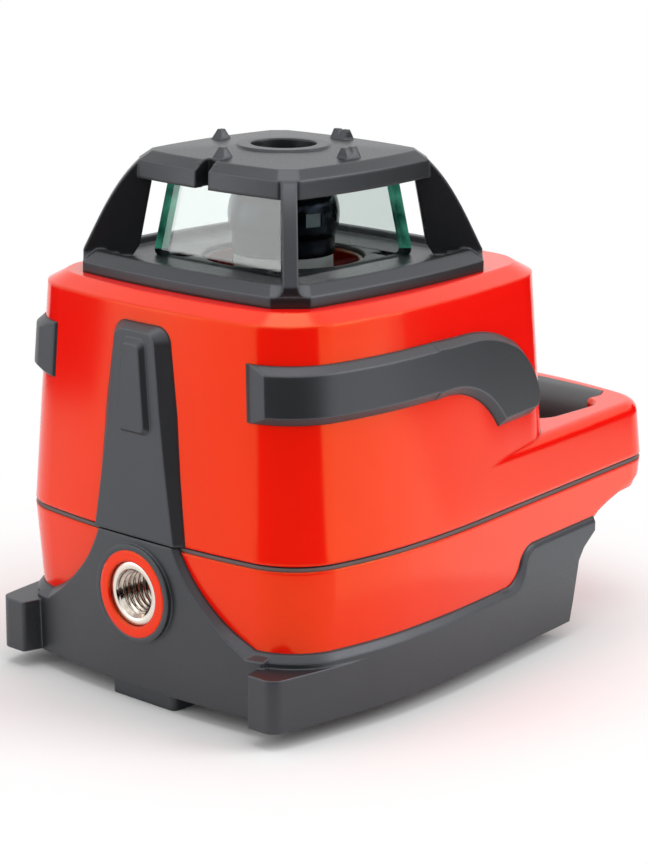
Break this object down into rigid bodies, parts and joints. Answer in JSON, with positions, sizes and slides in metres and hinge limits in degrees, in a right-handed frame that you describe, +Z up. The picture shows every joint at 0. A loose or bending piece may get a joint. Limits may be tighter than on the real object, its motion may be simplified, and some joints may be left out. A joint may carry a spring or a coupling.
{
  "type": "rotary laser level",
  "caption": "Self-levelling rotary laser level: red tower with a glazed, caged spinning head, rear carrying grip, rubber base and tripod threads.",
  "frame": {"origin": "on the rotor axis at the mouth of the base thread, in the plane the level stands on", "axes": "+Z up along the rotor axis, +X towards the carrying grip, the body symmetric about the XZ plane"},
  "size_m": [0.2209, 0.1442, 0.1839],
  "materials": {
    "red_shell": "semi-gloss moulded shell",
    "gasket_rubber": "matte seal",
    "soft_rubber": "satin overmould",
    "guard_plastic": "satin moulded",
    "screw_steel": "plain",
    "pane_glass": "clear, green at the edges",
    "rotor_plastic": "satin black",
    "beam_glass": "coated",
    "prism_glass": "polished",
    "collar_steel": "turned",
    "drive_alloy": "machined",
    "insert_steel": "turned",
    "brass": "turned",
    "vial_glass": "filled vial",
    "motor_steel": "drawn can",
    "belt_rubber": "matte",
    "inner_plastic": "moulded",
    "pack_plastic": "moulded",
    "circuit_board": "solder mask",
    "panel_plastic": "fine texture",
    "key_rubber": "soft key",
    "latch_plastic": "moulded"
  },
  "bodies": {
    "housing": {"upper_housing": "red_shell", "lower_housing": "red_shell", "seam_gasket": "gasket_rubber", "grip_liner": "soft_rubber", "base_bumper": "soft_rubber", "leg_rest": "soft_rubber", "side_grip_right": "soft_rubber", "side_grip_left": "soft_rubber", "head_guard": "guard_plastic", "guard_screws": "screw_steel", "housing_screws": "screw_steel", "pane_back": "pane_glass", "pane_left": "pane_glass", "pane_front": "pane_glass", "pane_right": "pane_glass", "chassis": "inner_plastic", "base_insert": "insert_steel", "side_insert": "insert_steel", "battery_box": "inner_plastic", "battery_pack": "pack_plastic", "battery_contacts": "brass", "main_board": "circuit_board", "keypad_board": "circuit_board", "keypad_panel": "panel_plastic", "door_pin": "insert_steel"},
    "gimbal": {"gimbal_ring": "drive_alloy", "tilt_pins_x": "insert_steel"},
    "laser_unit": {"bearing_housing": "drive_alloy", "bearing_lower": "insert_steel", "bearing_upper": "insert_steel", "laser_tube": "drive_alloy", "collimator_lens": "prism_glass", "laser_diode": "brass", "level_vials": "vial_glass", "spin_motor": "motor_steel", "drive_belt": "belt_rubber", "tilt_pins_y": "insert_steel"},
    "rotor": {"rotor_head": "rotor_plastic", "beam_window": "beam_glass", "pentaprism": "prism_glass", "rotor_collar": "collar_steel", "rotor_shaft": "collar_steel", "rotor_pulley": "drive_alloy", "encoder_disc": "beam_glass"},
    "motor_pulley": {"motor_pulley": "brass"},
    "battery_door": {"battery_door": "guard_plastic"},
    "door_latch": {"door_latch": "latch_plastic"},
    "key_speed": {"key_speed": "key_rubber"},
    "key_power": {"key_power": "key_rubber"},
    "key_scan": {"key_scan": "key_rubber"},
    "key_slope_x": {"key_slope_x": "key_rubber"},
    "key_slope_y": {"key_slope_y": "key_rubber"}
  },
  "joints": [
    {"name": "tilt_x", "type": "hinge", "parent": "housing", "child": "gimbal", "pos_m": [0, 0, 0.118], "axis": [1, 0, 0], "range_deg": [-5, 5]},
    {"name": "tilt_y", "type": "hinge", "parent": "gimbal", "child": "laser_unit", "pos_m": [0, 0, 0.118], "axis": [0, 1, 0], "range_deg": [-5, 5]},
    {"name": "rotor_spin", "type": "hinge", "parent": "laser_unit", "child": "rotor", "pos_m": [0, 0, 0.1], "axis": [0, 0, 1], "continuous": true},
    {"name": "motor_spin", "type": "hinge", "parent": "laser_unit", "child": "motor_pulley", "pos_m": [0.038, 0, 0.098], "axis": [0, 0, 1], "continuous": true},
    {"name": "battery_door_hinge", "type": "hinge", "parent": "housing", "child": "battery_door", "pos_m": [0.0836, 0, 0.0114], "axis": [0, 1, 0], "range_deg": [0, 80]},
    {"name": "latch_turn", "type": "hinge", "parent": "battery_door", "child": "door_latch", "pos_m": [0.08605, 0, 0.02058], "axis": [0.9662, 0, -0.2577], "range_deg": [0, 90]},
    {"name": "key_speed_press", "type": "slide", "parent": "housing", "child": "key_speed", "axis": [-0.9992, 0, -0.0389], "range_m": [0, 0.0008], "stiffness_N_per_m": 300},
    {"name": "key_power_press", "type": "slide", "parent": "housing", "child": "key_power", "axis": [-0.9992, 0, -0.0389], "range_m": [0, 0.0008], "stiffness_N_per_m": 300},
    {"name": "key_scan_press", "type": "slide", "parent": "housing", "child": "key_scan", "axis": [-0.9992, 0, -0.0389], "range_m": [0, 0.0008], "stiffness_N_per_m": 300},
    {"name": "key_slope_x_press", "type": "slide", "parent": "housing", "child": "key_slope_x", "axis": [-0.9992, 0, -0.0389], "range_m": [0, 0.0008], "stiffness_N_per_m": 300},
    {"name": "key_slope_y_press", "type": "slide", "parent": "housing", "child": "key_slope_y", "axis": [-0.9992, 0, -0.0389], "range_m": [0, 0.0008], "stiffness_N_per_m": 300}
  ],
  "couplings": [
    {"joint": "motor_spin", "follows": "rotor_spin", "ratio": 2.3333}
  ]
}
